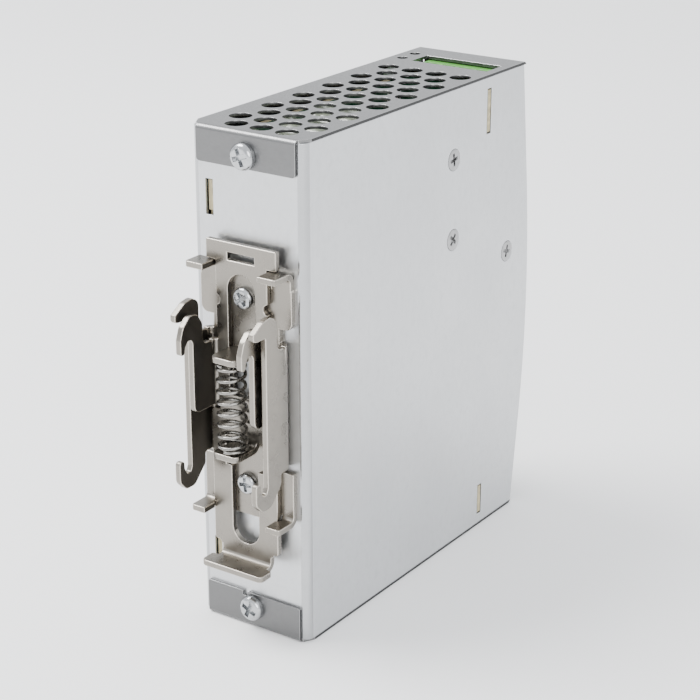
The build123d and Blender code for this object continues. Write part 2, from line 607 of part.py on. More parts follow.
def choke_core():
    """Closed ferrite frame of the mains-side choke."""
    frame = span(MAIN_FACE + 4.0, MAIN_FACE + 20.0, 30.0, 36.0, 6.0, 26.0)
    return frame - span(MAIN_FACE + 8.5, MAIN_FACE + 15.5, 29, 37, 10.5, 21.5)


def choke_windings():
    """Two copper coils on the choke's long legs, and its base."""
    pieces = []
    for x in (MAIN_FACE + 6.25, MAIN_FACE + 17.75):
        coil = rod((x, 33.0, 10.8), (0, 0, 1), 10.4, 4.6)
        coil -= span(x - 2.45, x + 2.45, 29.8, 36.2, 10, 22)
        pieces.append(coil & span(-30, 30, 28.4, 37.6, 10, 22))
    pieces.append(span(MAIN_FACE + 0.05, MAIN_FACE + 1.5, 28.0, 38.0, 6.0, 26.0))
    return group(pieces)


def output_choke():
    """Ring core wound with enamelled wire, on edge on the board."""
    x = MAIN_FACE + 9.0
    body = ring((x, 66.4, 70.0), (0, 0, 1), 7.0, 8.6, 3.4)
    body = fillet(body.edges(), 1.6)
    return body + span(MAIN_FACE + 0.05, MAIN_FACE + 1.4, 60.0, 72.0, 70.0, 77.0)


def x_capacitor():
    body = span(MAIN_FACE + 0.05, MAIN_FACE + 14.0, 45.0, 52.0, 8.0, 26.0)
    return fillet(body.edges().filter_by(Axis.X), 0.8)


def y_capacitors():
    """Small round ceramic discs on edge."""
    pieces = []
    for z in (84.0, 92.0, 100.0):
        disc = rod((MAIN_FACE + 4.8, 40.0, z), (0, 1, 0), 2.6, 3.6)
        disc = fillet(disc.edges(), 0.9)
        legs = [span(MAIN_FACE + 0.05, MAIN_FACE + 2.6, 41.0, 41.6, z + s - 0.3, z + s + 0.3)
                for s in (-1.9, 1.9)]
        pieces.append(disc + legs[0] + legs[1])
    return group(pieces)


def disc_part(y, z, radius, width):
    """A coated disc on two legs, on edge on the board."""
    disc = rod((MAIN_FACE + radius + 1.6, y, z), (0, 1, 0), width, radius)
    disc = fillet(disc.edges(), width * 0.35)
    for s in (-2.5, 2.5):
        disc += span(MAIN_FACE + 0.05, MAIN_FACE + 3.4, y + width / 2 - 0.35, y + width / 2 + 0.35,
                     z + s - 0.35, z + s + 0.35)
    return disc


def fuse():
    """Glass-bodied fuse between two end caps on legs."""
    x = MAIN_FACE + 3.6
    body = rod((x, 8.0, 10.0), (0, 1, 0), 18.0, 2.3)
    for y in (7.0, 21.0):
        body += rod((x, y, 10.0), (0, 1, 0), 5.0, 2.6)
        body += span(MAIN_FACE + 0.05, x - 2.0, y + 2.2, y + 2.9, 9.6, 10.4)
    return body


def bridge_rectifier():
    """Flat moulded rectifier on four legs."""
    x0 = MAIN_FACE + 3.2
    body = span(x0, x0 + 11.0, 70.0, 73.4, 20.0, 38.0)
    body = chamfer(body.edges().filter_by(Axis.Y), 0.6)
    for z in (22.5, 27.0, 31.0, 35.5):
        body += span(MAIN_FACE + 0.05, x0 + 0.1, 71.3, 72.1, z - 0.5, z + 0.5)
    return body


def chip(y, z, length, width, height, pins):
    """A moulded chip flat on the board with two rows of legs."""
    x0 = MAIN_FACE + 0.35
    body = span(x0, x0 + height, y - width / 2, y + width / 2, z - length / 2, z + length / 2)
    body = chamfer(body.edges().filter_by(Axis.Z), 0.25)
    step = length / pins
    for i in range(pins):
        at = z - length / 2 + (i + 0.5) * step
        body += span(MAIN_FACE + 0.03, x0 + height * 0.45, y - width / 2 - 0.9, y + width / 2 + 0.9,
                     at - 0.22, at + 0.22) - span(MAIN_FACE, x0 + 0.01, y - width / 2 - 0.3,
                                                  y + width / 2 + 0.3, at - 1, at + 1)
    return body


def trimmer_body():
    """Housing of the output voltage trimmer on the output board."""
    x, z = TRIMMER
    body = span(x - 3.2, x + 3.2, PLATE_FACE + 0.05, 85.6, z - 3.2, z + 3.2)
    body = chamfer(body.edges().filter_by(Axis.Y), 0.5)
    return body - rod((x, 82.4, z), FORWARD, 5, 2.05)


def trimmer_rotor():
    """Slotted rotor of the trimmer, in its housing."""
    x, z = TRIMMER
    rotor = rod((x, 82.6, z), FORWARD, 3.6, 2.0)
    return rotor - Pos(x, 86.2, z) * Box(3.2, 1.6, 0.7)


def indicator_led():
    x, z = LED
    lens = rod((x, PLATE_FACE + 0.05, z), FORWARD, 4.2, 1.5)
    lens = fillet(lens.edges().group_by(Axis.Y)[-1], 1.2)
    return lens + rod((x, PLATE_FACE + 0.05, z), FORWARD, 0.9, 1.9)


def light_guide():
    """Clear rod from the indicator to its hole in the front."""
    x, z = LED
    guide = rod((x, 84.9, z), FORWARD, 98.3 - 84.9, 1.4)
    guide += rod((x, 97.0, z), FORWARD, 1.3, 2.3)
    return guide + rod((x, 98.2, z), FORWARD, 1.6, 1.5)


def build():
    os.makedirs("parts", exist_ok=True)
    save("case_shell", case_shell())
    save("cover", cover())
    save("flange_screws", group([pan_screw((0, -COVER_SHEET - 0.02, z), OUTWARD, turn, 3.2, 2.0)
                                 for z, turn in zip(FLANGE_SCREWS, (20, 65))]))
    save("side_screws", group([flush_screw((HALF - 0.02, y, z), (1, 0, 0), turn)
                               for (y, z), turn in zip(SIDE_SCREWS, (10, 50, 75))]))
    save("clip_screws", group([pan_screw((0, -CLIP_SHEET - 0.02, z), OUTWARD, turn, 2.7, 1.7)
                               for z, turn in zip(CLIP_SCREWS, (35, 5))]))
    save("clip_bracket", clip_bracket())
    save("latch_slide", latch_slide())
    save("latch_spring", latch_spring())
    save("main_board", main_board())
    save("board_standoffs", board_standoffs())
    save("insulating_sheet", insulating_sheet())
    save("output_board", terminal_board(96.0, 123.0, SIDE_SLOTS[0]))
    save("input_board", terminal_board(2.4, 29.0, SIDE_SLOTS[1]))
    save("link_pins", link_pins())
    for name, poles, z, mouth in (("output", OUTPUT_POLES, OUTPUT_Z, 1), ("input", INPUT_POLES, INPUT_Z, -1)):
        save(name + "_terminal_block", terminal_housing(poles, z, mouth))
        save(name + "_contacts", terminal_contacts(poles, z, mouth))
        for i, x in enumerate(pole_centres(poles)):
            save(f"{name}_clamp_{i + 1}", terminal_clamp(x, z))
            save(f"{name}_screw_{i + 1}", terminal_screw(x, z, 15 + 40 * i))
    save("output_heat_sink", angle_sink(SIDE_SCREWS[:2], 80.0, 112.0, OUTPUT_LEAF, (OUTPUT_LEAF, 69.0),
                                        OUTPUT_PACKAGE_Z))
    save("input_heat_sink", angle_sink(SIDE_SCREWS[2:], 40.0, 84.0, INPUT_LEAF, (INPUT_LEAF, 95.5),
                                       INPUT_PACKAGE_Z))
    save("output_rectifier", power_package(OUTPUT_LEAF - 0.5, OUTPUT_PACKAGE_Z))
    save("switching_transistor", power_package(INPUT_LEAF - 0.5, INPUT_PACKAGE_Z))
    save("package_pads", package_pads())
    save("package_screws", package_screws())
    save("bulk_capacitor", bulk_capacitor())
    save("output_capacitors", output_capacitors())
    save("transformer_core", transformer_core())
    save("transformer_winding", transformer_winding())
    save("choke_core", choke_core())
    save("choke_windings", choke_windings())
    save("output_choke", output_choke())
    save("x_capacitor", x_capacitor())
    save("y_capacitors", y_capacitors())
    save("surge_absorber", disc_part(58.0, 13.0, 5.5, 4.2))
    save("inrush_limiter", disc_part(10.0, 22.5, 5.2, 4.6))
    save("fuse", fuse())
    save("bridge_rectifier", bridge_rectifier())
    save("control_chip", chip(36.0, 92.0, 10.0, 4.0, 1.6, 8))
    save("optocoupler", chip(50.0, 88.0, 9.6, 6.4, 3.4, 4))
    save("trimmer_body", trimmer_body())
    save("trimmer_rotor", trimmer_rotor())
    save("indicator_led", indicator_led())
    save("light_guide", light_guide())


build()
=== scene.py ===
import math

import bmesh
import bpy
from bpy.props import FloatProperty, FloatVectorProperty, IntProperty, PointerProperty
from mathutils import Matrix, Vector


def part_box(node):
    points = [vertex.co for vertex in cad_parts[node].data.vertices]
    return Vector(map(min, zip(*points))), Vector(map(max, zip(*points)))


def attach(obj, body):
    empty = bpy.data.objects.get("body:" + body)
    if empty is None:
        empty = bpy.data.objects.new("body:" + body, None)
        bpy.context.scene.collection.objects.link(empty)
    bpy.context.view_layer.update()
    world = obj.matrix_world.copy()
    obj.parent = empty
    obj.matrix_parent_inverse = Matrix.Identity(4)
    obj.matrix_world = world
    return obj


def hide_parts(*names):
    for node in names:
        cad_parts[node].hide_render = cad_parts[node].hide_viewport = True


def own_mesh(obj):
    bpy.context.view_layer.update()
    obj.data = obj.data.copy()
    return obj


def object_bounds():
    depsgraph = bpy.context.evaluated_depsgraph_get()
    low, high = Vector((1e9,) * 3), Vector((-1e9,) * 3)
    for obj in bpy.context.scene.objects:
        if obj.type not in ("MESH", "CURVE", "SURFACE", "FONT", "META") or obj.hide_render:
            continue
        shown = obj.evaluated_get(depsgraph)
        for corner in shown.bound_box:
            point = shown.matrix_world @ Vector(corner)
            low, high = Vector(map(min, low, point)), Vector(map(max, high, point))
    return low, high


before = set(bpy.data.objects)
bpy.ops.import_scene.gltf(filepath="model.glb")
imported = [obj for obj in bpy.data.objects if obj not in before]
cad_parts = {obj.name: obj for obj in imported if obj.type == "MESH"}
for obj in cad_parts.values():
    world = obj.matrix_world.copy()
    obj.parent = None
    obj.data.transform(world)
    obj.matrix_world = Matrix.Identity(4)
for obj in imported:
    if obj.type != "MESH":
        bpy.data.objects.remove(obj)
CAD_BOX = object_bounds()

bl_info = {
    "name": "Rail Supply Looks",
    "version": (1, 0, 0),
    "blender": (4, 5, 0),
    "location": "View3D > Sidebar > Rail Supply",
    "description": "Builds the finished look of a rail-mounted power supply round its fixed frame",
    "category": "Object",
}

MM = 0.001
MERGE = 1e-6            # points of a copied mesh that are one point
FLAT = math.radians(0.5)        # faces that count as one plane
SHARP = math.radians(38)        # edges that count as corners
CASE = "power_supply"           # the body that everything fixed rides on


# ---- materials ----
class Finish:
    """One material: a principled shader with noise-driven colour, roughness and relief."""

    def __init__(self, name, colour, roughness, metallic=0.0):
        self.material = bpy.data.materials.new(name)
        self.material.use_nodes = True
        self.material.diffuse_color = (*colour, 1)
        self.tree = self.material.node_tree
        self.shader = self.tree.nodes["Principled BSDF"]
        self.set("Base Color", (*colour, 1))
        self.set("Roughness", roughness)
        self.set("Metallic", metallic)
        self.coords = self.tree.nodes.new("ShaderNodeTexCoord").outputs["Object"]

    def set(self, socket, value):
        self.shader.inputs[socket].default_value = value
        return self

    def link(self, output, socket):
        self.tree.links.new(output, socket)
        return self

    def mapped(self, stretch=(1, 1, 1), offset=(0, 0, 0)):
        """Object coordinates, stretched: a small number draws the pattern out along that axis."""
        mapping = self.tree.nodes.new("ShaderNodeMapping")
        mapping.inputs["Scale"].default_value = stretch
        mapping.inputs["Location"].default_value = offset
        self.link(self.coords, mapping.inputs["Vector"])
        return mapping.outputs["Vector"]

    def noise(self, size, stretch=(1, 1, 1), detail=3.0, offset=(0, 0, 0)):
        """Soft noise whose patches are about size metres across."""
        noise = self.tree.nodes.new("ShaderNodeTexNoise")
        noise.inputs["Scale"].default_value = 1 / size
        noise.inputs["Detail"].default_value = detail
        self.link(self.mapped(stretch, offset), noise.inputs["Vector"])
        return noise.outputs["Fac"]

    def cells(self, size, stretch=(1, 1, 1), feature="F1"):
        """Cell noise: the distance from each cell's middle or edge."""
        cells = self.tree.nodes.new("ShaderNodeTexVoronoi")
        cells.feature = feature
        cells.inputs["Scale"].default_value = 1 / size
        self.link(self.mapped(stretch), cells.inputs["Vector"])
        return cells.outputs["Distance"]

    def lines(self, size, axis, distortion=0.0):
        """Parallel ridges, one every size metres along an axis."""
        wave = self.tree.nodes.new("ShaderNodeTexWave")
        wave.bands_direction = axis
        wave.inputs["Scale"].default_value = 0.314 / size
        wave.inputs["Distortion"].default_value = distortion
        self.link(self.coords, wave.inputs["Vector"])
        return wave.outputs["Fac"]

    def between(self, value, low, high, start=0.35, end=0.65):
        """A value remapped to run from low to high while the pattern runs from start to end."""
        remap = self.tree.nodes.new("ShaderNodeMapRange")
        for socket, number in (("From Min", start), ("From Max", end), ("To Min", low), ("To Max", high)):
            remap.inputs[socket].default_value = number
        self.link(value, remap.inputs["Value"])
        return remap.outputs["Result"]

    def mixed(self, factor, first, second):
        """Two colours, or a colour and another pattern's output, mixed by a factor."""
        mix = self.tree.nodes.new("ShaderNodeMix")
        mix.data_type = "RGBA"
        self.link(factor, mix.inputs["Factor"])
        for socket, value in ((mix.inputs[6], first), (mix.inputs[7], second)):
            if isinstance(value, bpy.types.NodeSocket):
                self.link(value, socket)
            else:
                socket.default_value = (*value, 1)
        return mix.outputs[2]

    def colour(self, value, dark, light, start=0.35, end=0.65):
        self.link(self.mixed(self.between(value, 0, 1, start, end), dark, light),
                  self.shader.inputs["Base Color"])
        return self

    def roughness(self, value, low, high, start=0.35, end=0.65):
        return self.link(self.between(value, low, high, start, end), self.shader.inputs["Roughness"])

    def relief(self, value, depth, strength=0.5):
        """Bump, with depth in metres."""
        bump = self.tree.nodes.new("ShaderNodeBump")
        bump.inputs["Strength"].default_value = strength
        bump.inputs["Distance"].default_value = depth
        self.link(value, bump.inputs["Height"])
        if self.shader.inputs["Normal"].is_linked:
            earlier = self.shader.inputs["Normal"].links[0].from_socket
            self.link(earlier, bump.inputs["Normal"])
        return self.link(bump.outputs["Normal"], self.shader.inputs["Normal"])


def scaled(colour, factor):
    return tuple(min(1.0, c * factor) for c in colour)


def satin_sheet(name, tint, roughness, grain, lie):
    """Rolled steel sheet: fine grain drawn out along the rolling direction, and faint clouds."""
    finish = Finish(name, tint, roughness, metallic=1.0)
    fine = finish.noise(grain, lie, detail=4)
    cloud = finish.noise(0.022, detail=3)
    spots = finish.noise(0.0022, detail=4, offset=(3, 5, 7))
    body = finish.mixed(finish.between(cloud, 0, 1, 0.3, 0.7), scaled(tint, 0.955), scaled(tint, 1.02))
    fleck = finish.mixed(finish.between(spots, 0, 1, 0.5, 0.8), body, scaled(tint, 0.93))
    finish.link(fleck, finish.shader.inputs["Base Color"])
    finish.roughness(fine, roughness - 0.05, roughness + 0.07)
    return finish.relief(fine, 0.00002, 0.35).material


def cut_edge(name, tint, roughness=0.28):
    """The sheared or rounded edge of a sheet in the tint it is given, with fine drag marks; callers brighten
    that tint as a painted highlight, and the cover's side cut faces darken it as painted shade.
    """
    finish = Finish(name, tint, roughness, metallic=1.0)
    drag = finish.noise(0.0004, (1, 1, 1), detail=5)
    finish.colour(drag, scaled(tint, 0.85), scaled(tint, 1.05))
    finish.roughness(drag, roughness - 0.07, roughness + 0.12)
    return finish.relief(drag, 0.00002, 0.4).material


def plated_clip(name, tint, roughness):
    """Nickel plating over stamped steel: a slight mottle, tumbling marks and soft sheen."""
    finish = Finish(name, tint, roughness, metallic=1.0)
    mottle = finish.noise(0.004, detail=5)
    fine = finish.noise(0.0003, (1, 1, 0.35), detail=3)
    marks = finish.cells(0.0016)
    tone = finish.mixed(finish.between(mottle, 0, 1, 0.3, 0.7), scaled(tint, 0.86), scaled(tint, 1.05))
    pitted = finish.mixed(finish.between(marks, 0, 1, 0.0, 0.12), scaled(tint, 0.72), tone)
    finish.link(pitted, finish.shader.inputs["Base Color"])
    finish.roughness(mottle, roughness - 0.06, roughness + 0.1)
    return finish.relief(fine, 0.00003, 0.35).relief(marks, 0.00001, 0.3).material


def bright_zinc(name, tint, roughness=0.2):
    """Zinc-plated fastener: bright, with turning marks and small dull patches."""
    finish = Finish(name, tint, roughness, metallic=1.0)
    dull = finish.noise(0.0012, detail=4)
    turning = finish.noise(0.00022, (1, 0.3, 1), detail=2)
    finish.colour(dull, scaled(tint, 0.82), tint)
    finish.roughness(dull, roughness, roughness + 0.16)
    return finish.relief(turning, 0.00002, 0.4).material


def drawn_wire(name, tint, roughness=0.22):
    """Drawn spring wire with lengthwise die marks."""
    finish = Finish(name, tint, roughness, metallic=1.0)
    marks = finish.noise(0.00025, (1, 1, 1), detail=4)
    finish.colour(marks, scaled(tint, 0.78), scaled(tint, 1.05))
    finish.roughness(marks, roughness - 0.05, roughness + 0.15)
    return finish.relief(marks, 0.000015, 0.4).material


def moulded(name, tint, roughness, grain=0.0004, coat=0.0, through=0.0, shine=0.5):
    """Moulded plastic: fine spark-eroded texture and a faint change of tone."""
    finish = Finish(name, tint, roughness)
    fine = finish.noise(grain, detail=3)
    tone = finish.noise(0.006, detail=2)
    finish.colour(tone, scaled(tint, 0.9), scaled(tint, 1.06))
    finish.roughness(fine, roughness - 0.05, roughness + 0.08)
    finish.set("Coat Weight", coat).set("Specular IOR Level", shine)
    finish.set("Subsurface Weight", through)
    finish.set("Subsurface Scale", 0.001)
    return finish.relief(fine, 0.00002, 0.4).material


def circuit_mask(name, tint):
    """Solder mask over copper tracks: right-angled lanes that show through the green."""
    finish = Finish(name, tint, 0.32)
    lanes = finish.tree.nodes.new("ShaderNodeTexBrick")
    lanes.inputs["Scale"].default_value = 110
    lanes.inputs["Mortar Size"].default_value = 0.06
    lanes.inputs["Color1"].default_value = (*scaled(tint, 1.25), 1)
    lanes.inputs["Color2"].default_value = (*scaled(tint, 1.05), 1)
    lanes.inputs["Mortar"].default_value = (*scaled(tint, 0.7), 1)
    turned = finish.tree.nodes.new("ShaderNodeMapping")
    turned.inputs["Rotation"].default_value = (0, math.radians(90), 0)
    finish.link(finish.coords, turned.inputs["Vector"])
    finish.link(turned.outputs["Vector"], lanes.inputs["Vector"])
    blot = finish.noise(0.009, detail=2)
    finish.link(finish.mixed(finish.between(blot, 0, 0.8), lanes.outputs["Color"], scaled(tint, 1.1)),
                finish.shader.inputs["Base Color"])
    finish.set("Coat Weight", 0.4).set("Coat Roughness", 0.18)
    return finish.relief(lanes.outputs["Fac"], 0.00004, 0.5).material


def glass_fibre(name, tint):
    """Cut board edge: thin layers of glass cloth in tan resin."""
    finish = Finish(name, tint, 0.6)
    layers = finish.noise(0.0002, (1, 0.1, 0.1), detail=3)
    finish.colour(layers, scaled(tint, 0.7), scaled(tint, 1.15))
    return finish.relief(layers, 0.00004, 0.5).material


def wrapped_tape(name, tint):
    """Polyester tape: layered edges and a soft shine."""
    finish = Finish(name, tint, 0.3)
    layers = finish.lines(0.0012, "X", 0.4)
    finish.colour(layers, scaled(tint, 0.78), tint, 0.0, 0.25)
    finish.set("Coat Weight", 0.5).set("Coat Roughness", 0.15)
    return finish.relief(layers, 0.00005, 0.4).material


def enamelled(name, tint, metallic=0.6):
    """Lacquered winding wire."""
    finish = Finish(name, tint, 0.28, metallic)
    tone = finish.noise(0.002, detail=3)
    finish.colour(tone, scaled(tint, 0.75), scaled(tint, 1.1))
    finish.set("Coat Weight", 0.7).set("Coat Roughness", 0.1)
    return finish.relief(tone, 0.00003, 0.3).material


def fired(name, tint, roughness):
    """Ferrite or ceramic: a dry, finely speckled surface."""
    finish = Finish(name, tint, roughness)
    speck = finish.cells(0.0005)
    finish.colour(speck, scaled(tint, 0.7), scaled(tint, 1.2), 0.1, 0.7)
    return finish.relief(speck, 0.00003, 0.5).material


def mill_aluminium(name, tint):
    """Extruded aluminium with long die lines."""
    finish = Finish(name, tint, 0.36, metallic=1.0)
    lines = finish.noise(0.0005, (1, 1, 0.04), detail=4)
    finish.colour(lines, scaled(tint, 0.85), scaled(tint, 1.05))
    finish.roughness(lines, 0.28, 0.45)
    return finish.relief(lines, 0.00003, 0.4).material


def clear_plastic(name, tint, roughness=0.08):
    finish = Finish(name, tint, roughness)
    ripple = finish.noise(0.001, detail=2)
    finish.set("Transmission Weight", 0.9).set("IOR", 1.49)
    return finish.relief(ripple, 0.00002, 0.2).material


def solder(name, tint=(0.72, 0.72, 0.70)):
    finish = Finish(name, tint, 0.25, metallic=1.0)
    wave = finish.noise(0.0006, detail=3)
    finish.colour(wave, scaled(tint, 0.8), scaled(tint, 1.05))
    return finish.relief(wave, 0.00005, 0.4).material


# ---- shapes ----
def node_copy(node, joined=True):
    """A working copy of a CAD node, its loose triangles merged and, if joined, its flat faces too."""
    bm = bmesh.new()
    bm.from_mesh(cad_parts[node].data)
    bmesh.ops.remove_doubles(bm, verts=bm.verts, dist=MERGE)
    bmesh.ops.dissolve_degenerate(bm, dist=MERGE, edges=bm.edges)
    if joined:
        bmesh.ops.dissolve_limit(bm, angle_limit=FLAT, verts=bm.verts, edges=bm.edges)
    return bm


def round_corners(bm, width, segments=2, edge_slot=None, angle=SHARP, among=None):
    """Rounds every sharp edge, and may give the rounded strips a material slot of their own."""
    corners = [e for e in (among or bm.edges) if e.is_manifold and e.calc_face_angle(0) > angle]
    result = bmesh.ops.bevel(bm, geom=corners, offset=width, offset_type="OFFSET", segments=segments,
                             profile=0.5, affect="EDGES", clamp_overlap=False, material=-1)
    if edge_slot is not None:
        for face in result["faces"]:
            face.material_index = edge_slot
    return bm


def place(name, bm, materials, body=CASE, replaces=(), angle=SHARP):
    """Makes the piece with its materials and smooth shading, lets it ride on a body, and hides the CAD parts
    it replaces.
    """
    mesh = bpy.data.meshes.new(name)
    bm.to_mesh(mesh)
    bm.free()
    for material in materials:
        mesh.materials.append(material)
    mesh.polygons.foreach_set("use_smooth", [True] * len(mesh.polygons))
    mesh.set_sharp_from_angle(angle=angle)
    piece = bpy.data.objects.new(name, mesh)
    bpy.context.scene.collection.objects.link(piece)
    normals = piece.modifiers.new("Weighted normals", "WEIGHTED_NORMAL")
    normals.keep_sharp = True
    normals.weight = 80
    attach(piece, body)
    if replaces:
        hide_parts(*replaces)
    return piece


def paint(node, material):
    """Gives a CAD node that is shown as it is a procedural material."""
    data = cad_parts[node].data
    data.materials.clear()
    data.materials.append(material)


def tube_loop(bm, centre, axis, radius, wire, steps=24, sides=8):
    """One closed turn of wire round an axis; gives back the turn's points."""
    axis = Vector(axis).normalized()
    out = axis.orthogonal().normalized()
    start = bmesh.ops.create_circle(bm, cap_ends=False, radius=wire, segments=sides,
                                    matrix=Matrix.Translation(centre + out * radius)
                                    @ axis.cross(out).to_track_quat("Z", "Y").to_matrix().to_4x4())
    edges = list({e for v in start["verts"] for e in v.link_edges})
    before = set(bm.verts)
    bmesh.ops.spin(bm, geom=start["verts"] + edges, cent=centre, axis=axis, angle=math.tau, steps=steps,
                   use_merge=True)
    return [v for v in bm.verts if v not in before or v in start["verts"]]


def lathe(bm, profile, base, axis, steps=40):
    """A turned shape: profile holds (radius, height) points, spun about an axis from its base."""
    axis = Vector(axis).normalized()
    out = axis.orthogonal().normalized()
    points = [bm.verts.new(Vector(base) + out * r + axis * h) for r, h in profile]
    edges = [bm.edges.new(pair) for pair in zip(points, points[1:])]
    bmesh.ops.spin(bm, geom=points + edges, cent=base, axis=axis, angle=math.tau, steps=steps,
                   use_merge=True)
    bmesh.ops.remove_doubles(bm, verts=bm.verts, dist=MERGE)
    bmesh.ops.recalc_face_normals(bm, faces=bm.faces)
    return bm


# ---- what a user may change ----
class RailSupplySheets(bpy.types.PropertyGroup):
    case_tint: FloatVectorProperty(
        name="Case", description="Colour of the folded case", subtype="COLOR", size=3,
        default=(0.60, 0.61, 0.62), min=0, max=1)
    cover_tint: FloatVectorProperty(
        name="Cover", description="Colour of the perforated cover", subtype="COLOR", size=3,
        default=(0.215, 0.215, 0.215), min=0, max=1)
    clip_tint: FloatVectorProperty(
        name="Clip", description="Colour of the plated rail clip", subtype="COLOR", size=3,
        default=(0.27, 0.25, 0.22), min=0, max=1)
    edge: FloatProperty(
        name="Edge rounding", description="How far the cut edges of the case are rounded over",
        default=0.1 * MM, min=0.02 * MM, max=0.4 * MM, unit="LENGTH", subtype="DISTANCE", precision=5)
    cover_edge: FloatProperty(
        name="Cover edge rounding", description="How far the cover's punched edges are rounded over",
        default=0.06 * MM, min=0.02 * MM, max=0.3 * MM, unit="LENGTH", subtype="DISTANCE", precision=5)
    clip_edge: FloatProperty(
        name="Clip edge rounding", description="How far the clip's stamped edges are rounded over",
        default=0.2 * MM, min=0.02 * MM, max=0.5 * MM, unit="LENGTH", subtype="DISTANCE", precision=5)


class RailSupplySpring(bpy.types.PropertyGroup):
    wire: FloatProperty(
        name="Wire", description="Diameter of the spring's wire", default=0.9 * MM,
        min=0.3 * MM, max=1.5 * MM, unit="LENGTH", subtype="DISTANCE", precision=5)
    radius: FloatProperty(
        name="Coil radius", description="From the spring's axis to the middle of its wire",
        default=3.25 * MM, min=2 * MM, max=4 * MM, unit="LENGTH", subtype="DISTANCE", precision=5)
    open_turns: IntProperty(
        name="Open turns", description="Turns between the two closed end coils", default=7, min=3, max=9)
    tint: FloatVectorProperty(
        name="Wire colour", description="Colour of the spring's wire", subtype="COLOR", size=3,
        default=(0.28, 0.27, 0.25), min=0, max=1)


class RailSupplyTerminals(bpy.types.PropertyGroup):
    green: FloatVectorProperty(
        name="Housing", description="Colour of the moulded terminal blocks", subtype="COLOR", size=3,
        default=(0.11, 0.34, 0.07), min=0, max=1)
    plating: FloatVectorProperty(
        name="Plating", description="Colour of the screws and wire clamps", subtype="COLOR", size=3,
        default=(0.72, 0.72, 0.70), min=0, max=1)


class RailSupplyInside(bpy.types.PropertyGroup):
    # The default mask green is darkened as painted shade for the boards inside the closed case.
    mask: FloatVectorProperty(
        name="Circuit boards", description="Colour of the solder mask", subtype="COLOR", size=3,
        default=(0.006, 0.055, 0.025), min=0, max=1)
    sleeve: FloatVectorProperty(
        name="Capacitor sleeve", description="Colour of the capacitors' shrunk sleeves",
        subtype="COLOR", size=3, default=(0.27, 0.30, 0.23), min=0, max=1)
    bulk_sleeve: FloatVectorProperty(
        name="Bulk capacitor sleeve", description="Colour of the large capacitor's sleeve",
        subtype="COLOR", size=3, default=(0.015, 0.02, 0.035), min=0, max=1)
    choke_turns: IntProperty(
        name="Output choke turns", description="Turns of wire on the ring core", default=22,
        min=8, max=30)


class RailSupplyStage(bpy.types.PropertyGroup):
    azimuth: FloatProperty(
        name="Azimuth", description="Camera's turn to the object's right, seen from its rail side",
        default=math.radians(34.585), subtype="ANGLE", unit="ROTATION")
    elevation: FloatProperty(
        name="Elevation", description="Camera's angle above the horizon",
        default=math.radians(21.037), subtype="ANGLE", unit="ROTATION")
    distance: FloatProperty(
        name="Distance", description="From the camera to the point that it looks at",
        default=483.5 * MM, unit="LENGTH", subtype="DISTANCE")
    aim: FloatVectorProperty(
        name="Aim", description="The point looked at, from the middle of the object's box",
        size=3, default=(-0.47 * MM, -1.65 * MM, -3.03 * MM), subtype="TRANSLATION", unit="LENGTH")
    lens: FloatProperty(
        name="Lens", description="Focal length in millimetres", default=98.6, min=20, max=300)
    key_power: FloatProperty(
        name="Key light", description="Power of the large soft light", default=30.0, min=0,
        subtype="POWER", unit="POWER")
    sky: FloatProperty(
        name="Sky", description="Brightness of the pale surroundings", default=1.7, min=0)


# ---- case ----
class RAILSUPPLY_OT_case(bpy.types.Operator):
    """Finish the folded case shell and the perforated cover"""
    bl_idname = "rail_supply.case"
    bl_label = "Case and cover"

    def execute(self, context):
        sheets = context.scene.rail_sheets
        case_face = satin_sheet("case_satin", sheets.case_tint, 0.36, 0.0006, (1, 1, 0.25))
        # Painted highlight: the case's rounded edge strips get 1.1 times the case tint.
        case_edge_painted_highlight = cut_edge("case_cut_edge_painted_highlight", scaled(sheets.case_tint, 1.1))
        cover_face = satin_sheet("cover_satin", sheets.cover_tint, 0.32, 0.0004, (1, 0.3, 1))
        # Painted highlight: the cover's rounded edge strips get 2.2 times the cover tint.
        cover_edge = cut_edge("cover_cut_edge_painted_highlight", scaled(sheets.cover_tint, 2.2), 0.2)
        # Painted shade: the cover's side cut faces get 0.3 of the cover tint, standing in for the shadow in
        # the gap over the side plates.
        sheared = cut_edge("cover_cut_face_painted_shade", scaled(sheets.cover_tint, 0.3), 0.5)
        # Painted shade: the cover's flange faces get a copy of the cover sheet at 0.78 of its tint, darker
        # because they face sideways rather than up.
        flange_painted_shade = satin_sheet("flange_satin_painted_shade", scaled(sheets.cover_tint, 0.78), 0.36, 0.0004, (0.3, 1, 1))
        # Painted reflection: the case's corner bend gets a copy of the sheet at 0.72 of its tint, a dark
        # band standing in for the lights' reflection in the bend; its lower roughness stands for the grain
        # stretched in the bend.
        bend_painted_reflection = satin_sheet("case_bend_painted_reflection", scaled(sheets.case_tint, 0.72), 0.16, 0.0004, (1, 1, 0.1))
        shell = node_copy("case_shell")
        # Faces of the bend at the rail-side corner take the painted reflection copy.
        for face in shell.faces:
            if face.normal.y < -0.05 and 0.05 < abs(face.normal.x) < 0.998:
                face.material_index = 2
        round_corners(shell, sheets.edge, 2, edge_slot=1)
        place("shell_folded", shell, [case_face, case_edge_painted_highlight, bend_painted_reflection],
              replaces=["case_shell"])
        lid = node_copy("cover")
        far = CAD_BOX[1].x - 2.5 * MM
        for face in lid.faces:
            # Cut faces at the far sides of the cover take the painted shade material.
            if abs(face.normal.x) > 0.9 and abs(face.calc_center_median().x) > far:
                face.material_index = 2
            # Flange faces that face the rail side take the painted shade copy.
            elif face.normal.y < -0.95:
                face.material_index = 3
        round_corners(lid, sheets.cover_edge, 2, edge_slot=1)
        place("cover_folded", lid, [cover_face, cover_edge, sheared, flange_painted_shade],
              replaces=["cover"])
        return {"FINISHED"}


